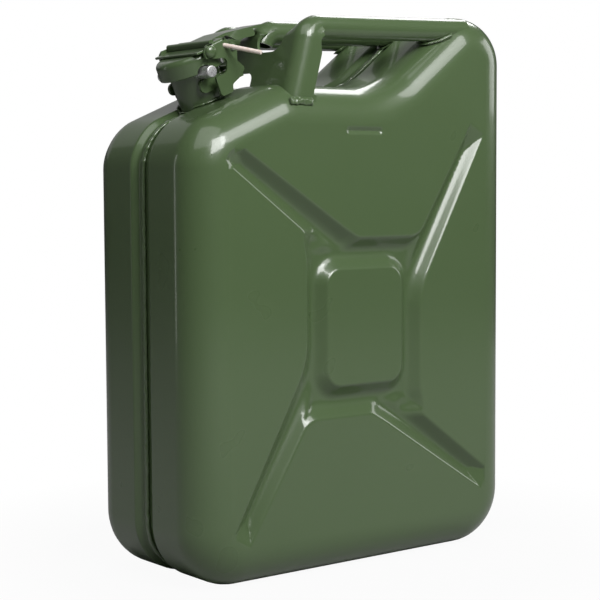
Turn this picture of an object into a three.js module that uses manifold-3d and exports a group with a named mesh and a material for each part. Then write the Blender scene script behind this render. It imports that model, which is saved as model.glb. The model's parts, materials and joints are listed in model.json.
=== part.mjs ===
// A pressed-steel twenty litre jerry can: two deep-drawn halves welded together in a sunk seam,
// three carrying handles, and a tilted filler neck with a hinged cap and a hooked closing lever.
// Millimetres, +Z up. The can stands on z = 0, the filler neck points towards -X.

import * as THREE from 'three';
import { mergeVertices } from 'three/addons/utils/BufferGeometryUtils.js';
import Module from 'manifold-3d';

const wasm = await Module();
wasm.setup();

const rad = THREE.MathUtils.degToRad;

// Body
const bodyLength = 345;
const bodyWidth = 160;
const bodyHeight = 474.5;
const sheet = 1.2;
const edgeRadius = 32;
const bottomCornerRadius = 50;
const humpRise = 65.5;
const slopeAngle = rad(22.8);
const shoulderLength = 92.2;
const ridgeRadius = 45;
const frontCornerRadius = 45;
const crownFlat = 1.3;
const humpAngle = rad(38);
const humpFootRadius = 80;
const humpTopRadius = 36;
const rearCornerRadius = 44;
const fitGap = 0.3;
const overrun = 1;
const outlineStep = rad(11.25);
const edgeSteps = 6;
const smallRoundSteps = 4;

// Sunk seam where the two halves meet
const seamDepth = 5;
const seamFloorHalf = 9;
const seamMouthHalf = 13;
const seamBeadHeight = 2;
const seamBeadWidth = 5;

// Pressed cross on each broad side, with a raised pad in its middle
const pressFromBottom = 43.1;
const pressFromTop = 37.1;
const pressDepth = 6.5;
const pressSlope = 7.5;
const padHalfX = 36;
const padHalfZ = 49;
const ringHalfX = 62.5;
const ringHalfZ = 72.5;
const armWidth = 22;
const armRunOut = 30;
const flatArmInsideRing = 32;
const flatArmUnderRing = 3.5;
const flatArmFromEnd = 36.1;
const flatArmBelowSteep = 25.3;
const steepArmInsideRing = 10.7;
const steepArmUnderRing = 37.5;
const steepArmFromEnd = 42.9;

// Sunk level bar above the cross
const levelBarLength = 40;
const levelBarHeight = 7;
const levelBarDepth = 1.5;
const levelBarBelowTop = 35.5;

// Carrying handles
const handleRadius = 10;
const handleWall = 1.5;
const handleFromSide = 18;
const handleBelowTop = 12.3;
const handleRise = 6;
const handleBend = 15;
const handleLegAbove = 11;
const handleFromRear = 44.5;
const weldWidth = 3;

// Front bracket that carries the handles
const bracketSheet = 2.5;
const bracketLean = rad(15);
const bracketFromRidge = 8.3;
const bracketOuterRise = 44;
const bracketMiddleRise = 37;
const bracketGapRise = 28;
const bracketMiddleHalf = 13;
const bracketGapOuter = 51;
const bracketFlangeFoot = 26.7;
const bracketFlangeTop = 21.8;
const bracketFlangeFall = 4;
const archHalf = 15;
const archHeight = 11.5;
const archRound = 6;

// Filler neck, in a frame whose z axis is square to the sloping shoulder
const neckFromFront = 64.3;
const neckRadius = 21;
const neckWall = 2;
const neckDepth = 9;
const neckRim = 36.8;
const ventRadius = 4;
const ventWall = 1.2;
const ventDepth = 40;
const ventBelowRim = 4;

// Cap
const capRadius = 29;
const capSheet = 1.8;
const gasketThickness = 2.4;
const gasketInner = 18;
const discThickness = 1.4;
const notchMargin = 1.4;
const skirtBottom = 26;
const capEdgeRound = 4;

// Carrier on the cap: a cross bar with two ears that hang beside the cap, and a rear hinge tongue
const carrierSheet = 2;
const carrierFront = -12;
const carrierRear = 8;
const carrierHalf = 31.4;
const tongueHalf = 12;
const rivetX = -0.8;
const rivetRadius = 2;
const rivetHead = 5.2;
const rivetDome = 3.6;
const earRadius = 3.4;
const earSpread = 2;
const earArcEnd = rad(10);
const rivetDrop = 3.3;
const tongueDip = 1.4;

// Hinge strap welded round the neck
const strapSheet = 3;
const strapBottom = 9.5;
const strapHeight = 10.5;
const strapFront = -15;
const hingeX = 34;
const hingeZ = 33;
const hingePinRadius = 2.5;
const knuckleRadius = 4.4;
const hingeEarWidth = 3;
const hingePinOverhang = 2;
const knuckleArcEnd = rad(27);

// Latch studs on the neck
const studX = -7.6;
const studZ = 26.1;
const studRadius = 5;
const studReach = 37.5;

// Closing lever
const leverSheet = 2.2;
const leverInner = 31.7;
const leverTopGap = 0.4;
const leverTopFront = 2.8;
const leverTopRear = 17.6;
const gripHalf = 16;
const gripLength = 40.5;
const gripFall = rad(8.9);
const gripLevel = 15.2;
const gripFlange = 7;
const gripFlangeLength = 28;
const gripFlangeRamp = 8;
const hookClearance = 1.2;

// Corners of the lever's side plates, from the pivot, the stud and the strap
const plateFront = 6.2;
const plateFrontTop = 2.2;
const plateRound = 1.5;
const waistDrop = 10.6;
const kneeBack = 34.6;
const kneeDrop = 9.5;
const heelBack = 26.2;
const heelDrop = 14.7;
const instepBack = 17.6;
const instepDrop = 17.3;
const noseBack = 15.8;
const noseDrop = 6.5;
const noseRound = 1.5;
const jawBehind = 3.7;
const mouthBack = 16;
const mouthLean = 4.8;
const mouthRise = 10.6;
const mouthDrop = 4.3;

// Lock pin through the near side of the lever
const pinRadius = 1.8;
const pinInside = 3.5;
const pinOutside = 35;
const pinClearance = 0.35;
const pinHoleX = 14.5;
const pinHoleZ = 40.8;
const pinDirection = new THREE.Vector3(0.45, -0.87, -0.21).normalize();

const halfLength = bodyLength / 2;
const topLevel = bodyHeight - humpRise;
const ridgeX = shoulderLength - halfLength;
const humpReach = humpTopRadius * Math.tan(humpAngle / 2);
const humpTopX = halfLength - rearCornerRadius - crownFlat - humpReach;
const humpFootX = humpTopX - humpRise / Math.tan(humpAngle);
const pressCentreZ = (pressFromBottom + topLevel - pressFromTop) / 2;
const pressHalf = (topLevel - pressFromTop - pressFromBottom) / 2;
const levelBarZ = topLevel - levelBarBelowTop;
const handleSpacing = bodyWidth / 2 - handleFromSide;
const handleAxisZ = bodyHeight - handleBelowTop;
const handleLegEnd = topLevel + handleLegAbove;
const handleRearX = halfLength - handleFromRear;
const bracketFootX = ridgeX + bracketFromRidge;
const bracketOuterTop = topLevel + bracketOuterRise;
const bracketMiddleTop = topLevel + bracketMiddleRise;
const bracketGapFloor = topLevel + bracketGapRise;
const neckX = neckFromFront - halfLength;
const gasketBottom = neckRim + fitGap;
const capUnderside = gasketBottom + gasketThickness + fitGap;
const capTop = capUnderside + capSheet;
const carrierBottom = capTop + fitGap;
const carrierTop = carrierBottom + carrierSheet;
const rivetZ = carrierTop - rivetDrop;
const leverUnder = carrierTop + leverTopGap;
const leverTop = leverUnder + leverSheet;
const leverOuter = leverInner + leverSheet;
const shoulderDrop = (neckX - ridgeX) * Math.tan(slopeAngle);
const neckBase = new THREE.Vector3(neckX, 0, topLevel + shoulderDrop);

const paint = { color: 0x56684c, roughness: 0.32, metalness: 0.25 };
const materials = {
  paint: new THREE.MeshStandardMaterial(paint),
  zinc: new THREE.MeshStandardMaterial({ color: 0xb9bcc0, roughness: 0.45, metalness: 0.9 }),
  pin: new THREE.MeshStandardMaterial({ color: 0xd9cfc6, roughness: 0.4, metalness: 0.5 }),
  rubber: new THREE.MeshStandardMaterial({ color: 0x1c1c1c, roughness: 0.8, metalness: 0 }),
};

// Closed geometry to a solid that can be joined and cut, and back again.
function solid(geometry) {
  const bare = geometry.index ? geometry.toNonIndexed() : geometry.clone();
  bare.deleteAttribute('normal');
  bare.deleteAttribute('uv');
  const merged = mergeVertices(bare, 1e-4);
  return new wasm.Manifold(new wasm.Mesh({
    numProp: 3,
    vertProperties: new Float32Array(merged.attributes.position.array),
    triVerts: new Uint32Array(merged.index.array),
  }));
}

function geometryOf(body) {
  const mesh = body.getMesh();
  const geometry = new THREE.BufferGeometry();
  geometry.setAttribute('position', new THREE.BufferAttribute(mesh.vertProperties, 3));
  geometry.setIndex(new THREE.BufferAttribute(mesh.triVerts, 1));
  geometry.computeVertexNormals();
  return geometry;
}

function placed(geometry, matrix) {
  return solid(geometry.clone().applyMatrix4(matrix));
}

function shifted(geometry, x, y, z) {
  return solid(geometry.clone().translate(x, y, z));
}

// Rings with equal point counts are skinned, and both ends are closed with flat faces.
function loft(rings) {
  const count = rings[0].length;
  const positions = [];
  const indices = [];
  rings.flat().forEach((point) => positions.push(point.x, point.y, point.z));
  for (let ring = 0; ring + 1 < rings.length; ring += 1) {
    for (let i = 0; i < count; i += 1) {
      const a = ring * count + i;
      const b = ring * count + (i + 1) % count;
      indices.push(a, b, a + count, b, b + count, a + count);
    }
  }
  const flat = rings[0].map((point) => new THREE.Vector2(point.x, point.z));
  const last = (rings.length - 1) * count;
  THREE.ShapeUtils.triangulateShape(flat, []).forEach(([a, b, c]) => indices.push(c, b, a));
  const top = rings[rings.length - 1].map((point) => new THREE.Vector2(point.x, point.z));
  THREE.ShapeUtils.triangulateShape(top, [])
    .forEach(([a, b, c]) => indices.push(last + a, last + b, last + c));
  return facingOut(positions, indices);
}

function facingOut(positions, indices) {
  let volume = 0;
  const point = (i) => new THREE.Vector3().fromArray(positions, i * 3);
  for (let i = 0; i < indices.length; i += 3) {
    volume += point(indices[i]).dot(point(indices[i + 1]).cross(point(indices[i + 2])));
  }
  const order = volume > 0 ? indices : indices.toReversed();
  const geometry = new THREE.BufferGeometry();
  geometry.setAttribute('position', new THREE.Float32BufferAttribute(positions, 3));
  geometry.setIndex(order);
  return geometry;
}

// An outline in a plane of constant y, pushed from y0 to y1.
function plate(points, y0, y1, holes = []) {
  const shape = new THREE.Shape(points);
  shape.holes.push(...holes);
  const push = { depth: y1 - y0, bevelEnabled: false, curveSegments: 10 };
  const geometry = new THREE.ExtrudeGeometry(shape, push);
  return solid(geometry.rotateX(Math.PI / 2).translate(0, y1, 0));
}

function roundHole(x, z, radius) {
  return new THREE.Path().absarc(x, z, radius, 0, Math.PI * 2, true);
}

function box(x0, x1, y0, y1, z0, z1) {
  const geometry = new THREE.BoxGeometry(x1 - x0, y1 - y0, z1 - z0);
  return shifted(geometry, (x0 + x1) / 2, (y0 + y1) / 2, (z0 + z1) / 2);
}

function uprightRod(radius, z0, z1, sides = 36) {
  const geometry = new THREE.CylinderGeometry(radius, radius, z1 - z0, sides);
  return solid(geometry.rotateX(Math.PI / 2).translate(0, 0, (z0 + z1) / 2));
}

function crossRod(radius, x, z, y0, y1, sides = 20) {
  const geometry = new THREE.CylinderGeometry(radius, radius, y1 - y0, sides);
  return shifted(geometry, x, (y0 + y1) / 2, z);
}

function lathe(profile, sides = 36) {
  const points = profile.map(([r, z]) => new THREE.Vector2(r, z));
  return new THREE.LatheGeometry(points, sides).rotateX(Math.PI / 2);
}

// Side outline of the can, drawn in by an inset: a round at each bend, straight lines between.
function bend(x, z, radius, from, to, hollow = false) {
  return { x, z, radius, from, to, hollow };
}

function bodyBends() {
  const quarter = Math.PI / 2;
  const slopeNormal = quarter + slopeAngle;
  const humpNormal = quarter + humpAngle;
  const shoulderZ = topLevel - (ridgeX + halfLength) * Math.tan(slopeAngle);
  const frontReach = frontCornerRadius * Math.tan((quarter - slopeAngle) / 2);
  const ridgeReach = ridgeRadius * Math.tan(slopeAngle / 2);
  const footReach = humpFootRadius * Math.tan(humpAngle / 2);
  return [
    bend(-halfLength + bottomCornerRadius, bottomCornerRadius, bottomCornerRadius, 2 * quarter, 3 * quarter),
    bend(halfLength - bottomCornerRadius, bottomCornerRadius, bottomCornerRadius, 3 * quarter, 4 * quarter),
    bend(halfLength - rearCornerRadius, bodyHeight - rearCornerRadius, rearCornerRadius, 0, quarter),
    bend(humpTopX + humpReach, bodyHeight - humpTopRadius, humpTopRadius, quarter, humpNormal),
    bend(humpFootX - footReach, topLevel + humpFootRadius, humpFootRadius,
      humpNormal + 2 * quarter, 3 * quarter, true),
    bend(ridgeX + ridgeReach, topLevel - ridgeRadius, ridgeRadius, quarter, slopeNormal),
    bend(-halfLength + frontCornerRadius, shoulderZ - frontReach, frontCornerRadius,
      slopeNormal, 2 * quarter),
  ];
}

function bodyOutline(inset) {
  const points = [];
  bodyBends().forEach(({ x, z, radius, from, to, hollow }) => {
    const reach = hollow ? radius + inset : radius - inset;
    const steps = Math.ceil(Math.abs(to - from) / outlineStep - 0.01);
    for (let i = 0; i <= steps; i += 1) {
      const angle = from + (to - from) * i / steps;
      points.push(new THREE.Vector2(x + reach * Math.cos(angle), z + reach * Math.sin(angle)));
    }
  });
  return points;
}

// One half of the can as a full solid, swollen by grow, on the side of y given by side.
function halfBody(grow, side, start) {
  const sections = [
    [start, seamDepth - grow],
    [seamFloorHalf, seamDepth - grow],
    [seamMouthHalf, -grow],
    [bodyWidth / 2 - edgeRadius, -grow],
  ];
  for (let i = 1; i <= edgeSteps; i += 1) {
    const angle = Math.PI / 2 * i / edgeSteps;
    const reach = edgeRadius + grow;
    const y = bodyWidth / 2 - edgeRadius + reach * Math.sin(angle);
    sections.push([y, edgeRadius - reach * Math.cos(angle)]);
  }
  return solid(loft(sections.map(([y, inset]) => bodyOutline(inset)
    .map((point) => new THREE.Vector3(point.x, side * y, point.y)))));
}

function wholeBody(grow) {
  return halfBody(grow, 1, -overrun).add(halfBody(grow, -1, -overrun));
}

// A sunk or raised bed with sloping sides between two four-cornered outlines.
function bed(outer, inner, outerY, innerY) {
  const ring = (corners, y) => corners.map((corner) => new THREE.Vector3(corner.x, y, corner.y));
  return solid(loft([ring(outer, outerY), ring(inner, innerY)]));
}

function corners(x0, x1, z0, z1) {
  return [[x0, z0], [x1, z0], [x1, z1], [x0, z1]].map(([x, z]) => new THREE.Vector2(x, z));
}

function turnedCorners(start, angle, s0, s1, half) {
  const origin = new THREE.Vector2();
  return corners(s0, s1, -half, half).map((corner) => corner.rotateAround(origin, angle)
    .add(start).add(new THREE.Vector2(0, pressCentreZ)));
}

// Where the arms of one half of the cross start and end; the other half is the same, turned half round.
function armLines() {
  return [
    [new THREE.Vector2(flatArmInsideRing - ringHalfX, ringHalfZ - flatArmUnderRing),
      new THREE.Vector2(flatArmFromEnd - halfLength, pressHalf - flatArmBelowSteep)],
    [new THREE.Vector2(ringHalfX - steepArmInsideRing, ringHalfZ - steepArmUnderRing),
      new THREE.Vector2(halfLength - steepArmFromEnd, pressHalf)],
  ];
}

// The tool that presses the cross into a broad side; grow makes the matching tool for the inner face.
function pressTool(side, grow) {
  const face = bodyWidth / 2;
  const above = 2;
  const lift = pressSlope * above / pressDepth;
  const floor = pressDepth + grow;
  const outerY = side * (face + above);
  const innerY = side * (face - floor);
  const rect = (x, z, y0, y1, step) => bed(
    corners(-x - lift * step, x + lift * step,
      pressCentreZ - z - lift * step, pressCentreZ + z + lift * step),
    corners(-x + pressSlope * step, x - pressSlope * step,
      pressCentreZ - z + pressSlope * step, pressCentreZ + z - pressSlope * step), y0, y1);
  const ring = rect(ringHalfX + grow, ringHalfZ + grow, outerY, innerY, 1);
  const pad = rect(padHalfX - grow, padHalfZ - grow, outerY, innerY - side * overrun, -1);
  const arms = [];
  armLines().forEach(([start, end]) => [0, Math.PI].forEach((turn) => {
    const from = start.clone().rotateAround(new THREE.Vector2(), turn);
    const run = end.clone().sub(start);
    const angle = run.angle();
    const length = run.length();
    const half = armWidth / 2 + grow;
    const runOut = armRunOut * above / pressDepth;
    arms.push(bed(
      turnedCorners(from, angle + turn, 0, length + grow + runOut, half + lift),
      turnedCorners(from, angle + turn, pressSlope, length + grow - armRunOut, half - pressSlope),
      outerY, innerY));
  }));
  return arms.reduce((tool, arm) => tool.add(arm), ring.subtract(pad));
}

function levelBar(side, grow) {
  const halfX = levelBarLength / 2 + grow;
  const halfZ = levelBarHeight / 2 + grow;
  const depth = levelBarDepth + grow;
  const face = bodyWidth / 2;
  const ring = (spread) => corners(-halfX - spread, halfX + spread,
    levelBarZ - halfZ - spread, levelBarZ + halfZ + spread);
  return bed(ring(overrun), ring(-levelBarDepth), side * (face + overrun), side * (face - depth));
}

function closureMatrix() {
  return new THREE.Matrix4().makeRotationY(-slopeAngle).setPosition(neckBase);
}

function inClosure(body) {
  return solid(geometryOf(body).applyMatrix4(closureMatrix()));
}

function shell(side) {
  const pressed = (grow) => pressTool(side, grow).add(levelBar(side, grow));
  const outer = halfBody(0, side, fitGap / 2).subtract(pressed(0));
  const inner = halfBody(-sheet, side, -overrun).subtract(pressed(sheet));
  const hole = inClosure(uprightRod(neckRadius + fitGap, -neckDepth - overrun, neckDepth));
  return outer.subtract(inner).subtract(hole);
}

function seamRing(low, high, half) {
  const hole = new THREE.Path(bodyOutline(seamDepth - low));
  return plate(bodyOutline(seamDepth - high), -half, half, [hole]);
}

function seamWeld() {
  const clear = inClosure(uprightRod(neckRadius + weldWidth + 2 * fitGap, -neckDepth - overrun, neckDepth));
  return seamRing(fitGap, fitGap + seamBeadHeight, seamBeadWidth / 2).subtract(clear);
}

// What a piece that sits on the can is trimmed with.
function seat() {
  return wholeBody(fitGap).add(seamRing(-overrun, 2 * fitGap + seamBeadHeight, seamBeadWidth / 2 + fitGap));
}

function weldLayer() {
  return wholeBody(fitGap + weldWidth).subtract(seat());
}

// The straight run of a handle, from the corner above its leg to its higher rear end.
function handleRun(y) {
  const offset = (bracketSheet + fitGap + handleRadius) / Math.cos(bracketLean);
  const legX = (z) => bracketFrontX(z) + offset;
  const frontZ = handleAxisZ - handleRise;
  return {
    foot: new THREE.Vector3(legX(handleLegEnd), y, handleLegEnd),
    corner: new THREE.Vector3(legX(frontZ), y, frontZ),
    rear: new THREE.Vector3(handleRearX, y, handleAxisZ),
  };
}

function handlePath(y) {
  const { foot, corner, rear } = handleRun(y);
  const reach = handleBend * Math.tan((Math.PI / 2 - bracketLean) / 2);
  const legTop = corner.clone().addScaledVector(corner.clone().sub(foot).normalize(), -reach);
  const runStart = corner.clone().addScaledVector(rear.clone().sub(corner).normalize(), reach);
  const path = new THREE.CurvePath();
  path.add(new THREE.LineCurve3(foot, legTop));
  path.add(new THREE.QuadraticBezierCurve3(legTop, corner, runStart));
  path.add(new THREE.LineCurve3(runStart, rear));
  return path;
}

function tubeAlong(path, radius, bore, steps) {
  const section = new THREE.Shape().absarc(0, 0, radius, 0, Math.PI * 2);
  if (bore > 0) section.holes.push(new THREE.Path().absarc(0, 0, bore, 0, Math.PI * 2, true));
  return solid(new THREE.ExtrudeGeometry(section, { steps, extrudePath: path, curveSegments: 7 }));
}

function handle(y) {
  return tubeAlong(handlePath(y), handleRadius, handleRadius - handleWall, 16).subtract(seat());
}

function handleWeld(y) {
  const { corner, rear } = handleRun(y);
  const start = corner.clone().lerp(rear, (humpFootX - corner.x) / (rear.x - corner.x));
  const run = new THREE.LineCurve3(start, rear);
  const collar = tubeAlong(run, handleRadius + weldWidth, handleRadius + fitGap, 1);
  return collar.intersect(weldLayer());
}

function bracketFrontX(z) {
  return bracketFootX + (z - topLevel) * Math.tan(bracketLean);
}

// Front bracket: a leaning sheet with gaps between the handles, an arch over the seam, and a flange
// folded back at each end. A gap is one curve, pulled down until its middle lies on the gap's floor.
function bracket() {
  const half = handleSpacing + handleRadius + fitGap + bracketSheet;
  const foot = topLevel - edgeRadius;
  const outline = new THREE.Shape();
  outline.moveTo(-half, foot);
  const archShoulder = topLevel + archHeight - archRound;
  outline.lineTo(-archHalf, foot);
  outline.absarc(archRound - archHalf, archShoulder, archRound, Math.PI, Math.PI / 2, true);
  outline.absarc(archHalf - archRound, archShoulder, archRound, Math.PI / 2, 0, true);
  outline.lineTo(archHalf, foot);
  outline.lineTo(half, foot);
  outline.lineTo(half, bracketOuterTop);
  [[bracketGapOuter, bracketOuterTop, bracketMiddleHalf, bracketMiddleTop],
    [-bracketMiddleHalf, bracketMiddleTop, -bracketGapOuter, bracketOuterTop]]
    .forEach(([y0, z0, y1, z1]) => {
      outline.lineTo(y0, z0);
      const pull = (bracketGapFloor - (z0 + z1) / 8) / 0.75;
      outline.bezierCurveTo(y0, pull, y1, pull, y1, z1);
    });
  outline.lineTo(-half, bracketOuterTop);
  const sheetGeometry = new THREE.ExtrudeGeometry(outline,
    { depth: bracketSheet / Math.cos(bracketLean), bevelEnabled: false, curveSegments: 10 });
  const lean = new THREE.Matrix4().set(
    0, Math.tan(bracketLean), 1, bracketFootX - topLevel * Math.tan(bracketLean),
    1, 0, 0, 0,
    0, 1, 0, 0,
    0, 0, 0, 1);
  const front = placed(sheetGeometry, lean);
  const flange = (y0) => plate([
    new THREE.Vector2(bracketFrontX(foot), foot),
    new THREE.Vector2(bracketFrontX(foot) + bracketFlangeFoot, foot),
    new THREE.Vector2(bracketFrontX(bracketOuterTop) + bracketFlangeTop, bracketOuterTop - bracketFlangeFall),
    new THREE.Vector2(bracketFrontX(bracketOuterTop), bracketOuterTop),
  ], y0, y0 + bracketSheet);
  return front.add(flange(-half)).add(flange(half - bracketSheet)).subtract(seat());
}

function bracketWeld(side) {
  const y0 = handleSpacing + handleRadius + 2 * fitGap + bracketSheet;
  const x0 = bracketFrontX(topLevel - edgeRadius / 2);
  const strip = box(x0, x0 + bracketFlangeFoot - weldWidth, side > 0 ? y0 : -y0 - weldWidth,
    side > 0 ? y0 + weldWidth : -y0, topLevel - edgeRadius, topLevel);
  return strip.intersect(weldLayer());
}

// Everything below is drawn in the neck's own frame.
function neck() {
  return uprightRod(neckRadius, -neckDepth, neckRim)
    .subtract(uprightRod(neckRadius - neckWall, -neckDepth - overrun, neckRim + overrun));
}

function neckWeld() {
  const ring = uprightRod(neckRadius + weldWidth, -neckDepth, neckDepth)
    .subtract(uprightRod(neckRadius + fitGap, -neckDepth - overrun, neckDepth + overrun));
  const back = closureMatrix().invert();
  const layer = solid(geometryOf(weldLayer()).applyMatrix4(back));
  return ring.intersect(layer);
}

function vent() {
  const x = neckRadius - neckWall - fitGap - ventRadius;
  const tube = uprightRod(ventRadius, -ventDepth, neckRim - ventBelowRim, 14)
    .subtract(uprightRod(ventRadius - ventWall, -ventDepth - overrun, neckRim, 10));
  return tube.translate([x, 0, 0]);
}

function strap() {
  const inner = neckRadius + fitGap;
  const outer = inner + strapSheet;
  const back = hingeX - knuckleRadius;
  const middle = strapBottom + strapHeight / 2;
  const arm = (y0) => {
    const outline = new THREE.Shape();
    outline.moveTo(back, strapBottom);
    outline.lineTo(back, strapBottom + strapHeight);
    outline.lineTo(strapFront + strapHeight / 2, strapBottom + strapHeight);
    outline.absarc(strapFront + strapHeight / 2, middle, strapHeight / 2, Math.PI / 2, Math.PI * 1.5);
    return plate(outline.getPoints(8), y0, y0 + strapSheet);
  };
  const crossPlate = box(back - strapSheet, back, -outer, outer, strapBottom, strapBottom + strapHeight);
  const ear = (y0) => {
    const outline = new THREE.Shape();
    outline.moveTo(back - strapSheet, strapBottom);
    outline.lineTo(back, strapBottom);
    outline.lineTo(hingeX + knuckleRadius, hingeZ);
    outline.absarc(hingeX, hingeZ, knuckleRadius, 0, Math.PI);
    outline.lineTo(back - strapSheet, strapBottom + strapHeight);
    return plate(outline.getPoints(8), y0, y0 + hingeEarWidth,
      [roundHole(hingeX, hingeZ, hingePinRadius + fitGap)]);
  };
  const earStart = tongueHalf + fitGap;
  return arm(-outer).add(arm(inner)).add(crossPlate).add(ear(earStart)).add(ear(-earStart - hingeEarWidth));
}

function hingePin() {
  const reach = tongueHalf + fitGap + hingeEarWidth + hingePinOverhang;
  return crossRod(hingePinRadius, hingeX, hingeZ, -reach, reach);
}

function stud(side) {
  const start = neckRadius / 2;
  const [y0, y1] = side > 0 ? [start, studReach] : [-studReach, -start];
  const rod = crossRod(studRadius, studX, studZ, y0, y1);
  return rod.subtract(uprightRod(neckRadius + fitGap, 0, neckRim));
}

function cap() {
  const inner = capRadius - capSheet;
  const profile = [[0, capTop]];
  for (let i = 0; i <= smallRoundSteps; i += 1) {
    const angle = Math.PI / 2 * (1 - i / smallRoundSteps);
    profile.push([capRadius - capEdgeRound + capEdgeRound * Math.cos(angle),
      capTop - capEdgeRound + capEdgeRound * Math.sin(angle)]);
  }
  profile.push([capRadius, skirtBottom], [inner, skirtBottom], [inner, capUnderside], [0, capUnderside]);
  const notchHalf = studRadius + notchMargin;
  const notchTop = studZ + studRadius + notchMargin / 2;
  const notches = box(studX - notchHalf, studX + notchHalf, -capRadius, capRadius, 0, notchTop)
    .subtract(box(-capRadius, capRadius, -neckRadius, neckRadius, 0, neckRim));
  return solid(lathe(profile.reverse())).subtract(notches);
}

function gasket() {
  const outer = capRadius - capSheet - fitGap;
  const top = gasketBottom + gasketThickness;
  return solid(lathe([[gasketInner, gasketBottom], [outer, gasketBottom], [outer, top], [gasketInner, top],
    [gasketInner, gasketBottom]]));
}

function gasketDisc() {
  const top = capUnderside - fitGap;
  return uprightRod(gasketInner - fitGap, top - discThickness, top);
}

function carrier() {
  const bar = box(carrierFront, carrierRear, -carrierHalf, carrierHalf, carrierBottom, carrierTop);
  const ear = (y0) => {
    const outline = new THREE.Shape();
    outline.moveTo(rivetX - earRadius - earSpread, carrierTop);
    outline.absarc(rivetX, rivetZ, earRadius, Math.PI - earArcEnd, Math.PI * 2 + earArcEnd);
    outline.lineTo(rivetX + earRadius + earSpread, carrierTop);
    return plate(outline.getPoints(8), y0, y0 + carrierSheet);
  };
  const hole = (y0) => crossRod(rivetRadius + fitGap, rivetX, rivetZ,
    y0 - overrun, y0 + carrierSheet + overrun);
  const back = hingeX - knuckleRadius;
  const tongue = new THREE.Shape();
  tongue.moveTo(carrierRear - overrun, carrierBottom);
  tongue.lineTo(back - tongueDip, carrierBottom);
  tongue.lineTo(back, carrierBottom - tongueDip);
  tongue.lineTo(back, hingeZ);
  tongue.absarc(hingeX, hingeZ, knuckleRadius, Math.PI, Math.PI * 2 + knuckleArcEnd);
  tongue.lineTo(back, carrierTop);
  tongue.lineTo(carrierRear - overrun, carrierTop);
  const leaf = plate(tongue.getPoints(8), -tongueHalf, tongueHalf,
    [roundHole(hingeX, hingeZ, hingePinRadius + fitGap)]);
  const ends = [-carrierHalf, carrierHalf - carrierSheet];
  const whole = ends.reduce((body, y0) => body.add(ear(y0)), bar.add(leaf));
  return ends.reduce((body, y0) => body.subtract(hole(y0)), whole);
}

function rivet(side) {
  const inner = carrierHalf - carrierSheet;
  const outer = leverOuter + fitGap;
  const profile = [[0, inner], [rivetRadius, inner], [rivetRadius, outer], [rivetHead, outer]];
  for (let i = 1; i <= smallRoundSteps; i += 1) {
    const angle = Math.PI / 2 * i / smallRoundSteps;
    profile.push([rivetHead * Math.cos(angle), outer + rivetDome * Math.sin(angle)]);
  }
  const shape = new THREE.LatheGeometry(profile.map(([r, y]) => new THREE.Vector2(r, y)), 14);
  if (side < 0) shape.rotateX(Math.PI);
  return shifted(shape, rivetX, 0, rivetZ);
}

// Side plate of the lever: pivot at the top, a hook under the latch stud, a nose at the bottom.
function hookOutline() {
  const jawX = studX + jawBehind;
  const jawZ = studZ - studRadius - hookClearance;
  const topRear = rivetX + leverTopRear;
  const noseZ = strapBottom - noseDrop;
  return [
    [rivetX - plateFrontTop, leverTop],
    [topRear, leverTop],
    [topRear + plateRound, rivetZ + plateRound],
    [topRear + plateRound, rivetZ - waistDrop],
    [studX + kneeBack, studZ - kneeDrop],
    [studX + heelBack, studZ - heelDrop],
    [studX + instepBack, studZ - instepDrop],
    [studX + noseBack, noseZ + noseRound],
    [jawX + 2 * noseRound, noseZ],
    [jawX, noseZ + noseRound],
    [jawX, jawZ],
    [studX + mouthBack, jawZ],
    [studX + mouthBack + mouthLean, jawZ + mouthRise],
    [rivetX - plateFront, rivetZ - mouthDrop],
    [rivetX - plateFront, rivetZ + plateRound],
  ].map(([x, z]) => new THREE.Vector2(x, z)).reverse();
}

function pinTurn() {
  const local = pinDirection.clone().applyMatrix4(new THREE.Matrix4().makeRotationY(slopeAngle));
  return new THREE.Quaternion().setFromUnitVectors(new THREE.Vector3(0, 1, 0), local);
}

function pinRod(radius, from, to) {
  const geometry = new THREE.CylinderGeometry(radius, radius, to - from, 16).translate(0, (from + to) / 2, 0);
  const matrix = new THREE.Matrix4().makeRotationFromQuaternion(pinTurn());
  return placed(geometry, matrix.setPosition(pinHoleX, -leverOuter + leverSheet / 2, pinHoleZ));
}

// The thumb grip in side view: level over the hinge, then falling, with a flange folded down on each side.
function grip(topEnd) {
  const sink = (run) => run * Math.tan(gripFall);
  const bendX = topEnd + gripLevel;
  const endX = bendX + gripLength * Math.cos(gripFall);
  const flangeEnd = bendX + gripFlangeLength;
  const top = plate([
    [topEnd - overrun, leverUnder], [bendX, leverUnder], [endX, leverUnder - sink(endX - bendX)],
    [endX, leverTop - sink(endX - bendX)], [bendX, leverTop], [topEnd - overrun, leverTop],
  ].map(([x, z]) => new THREE.Vector2(x, z)), -gripHalf, gripHalf);
  const flange = (y0) => plate([
    [bendX, leverTop], [bendX, leverUnder], [bendX + gripFlangeRamp, leverUnder - gripFlange],
    [flangeEnd, leverUnder - gripFlange - sink(flangeEnd - bendX - gripFlangeRamp)],
    [flangeEnd, leverTop - sink(flangeEnd - bendX)],
  ].map(([x, z]) => new THREE.Vector2(x, z)), y0, y0 + leverSheet);
  return top.add(flange(-gripHalf)).add(flange(gripHalf - leverSheet));
}

function lever() {
  const hole = roundHole(rivetX, rivetZ, rivetRadius + fitGap);
  const near = plate(hookOutline(), -leverOuter, -leverInner, [hole]);
  const far = plate(hookOutline(), leverInner, leverOuter, [hole]);
  const topEnd = rivetX + leverTopRear;
  const topPlate = box(rivetX + leverTopFront, topEnd, -leverOuter, leverOuter, leverUnder, leverTop);
  const pinHole = pinRod(pinRadius + pinClearance, -3 * leverSheet, 3 * leverSheet);
  return near.add(far).add(topPlate).add(grip(topEnd)).subtract(pinHole);
}

function piece(name, body, material) {
  const mesh = new THREE.Mesh(geometryOf(body), material);
  mesh.name = name;
  return mesh;
}

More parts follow.
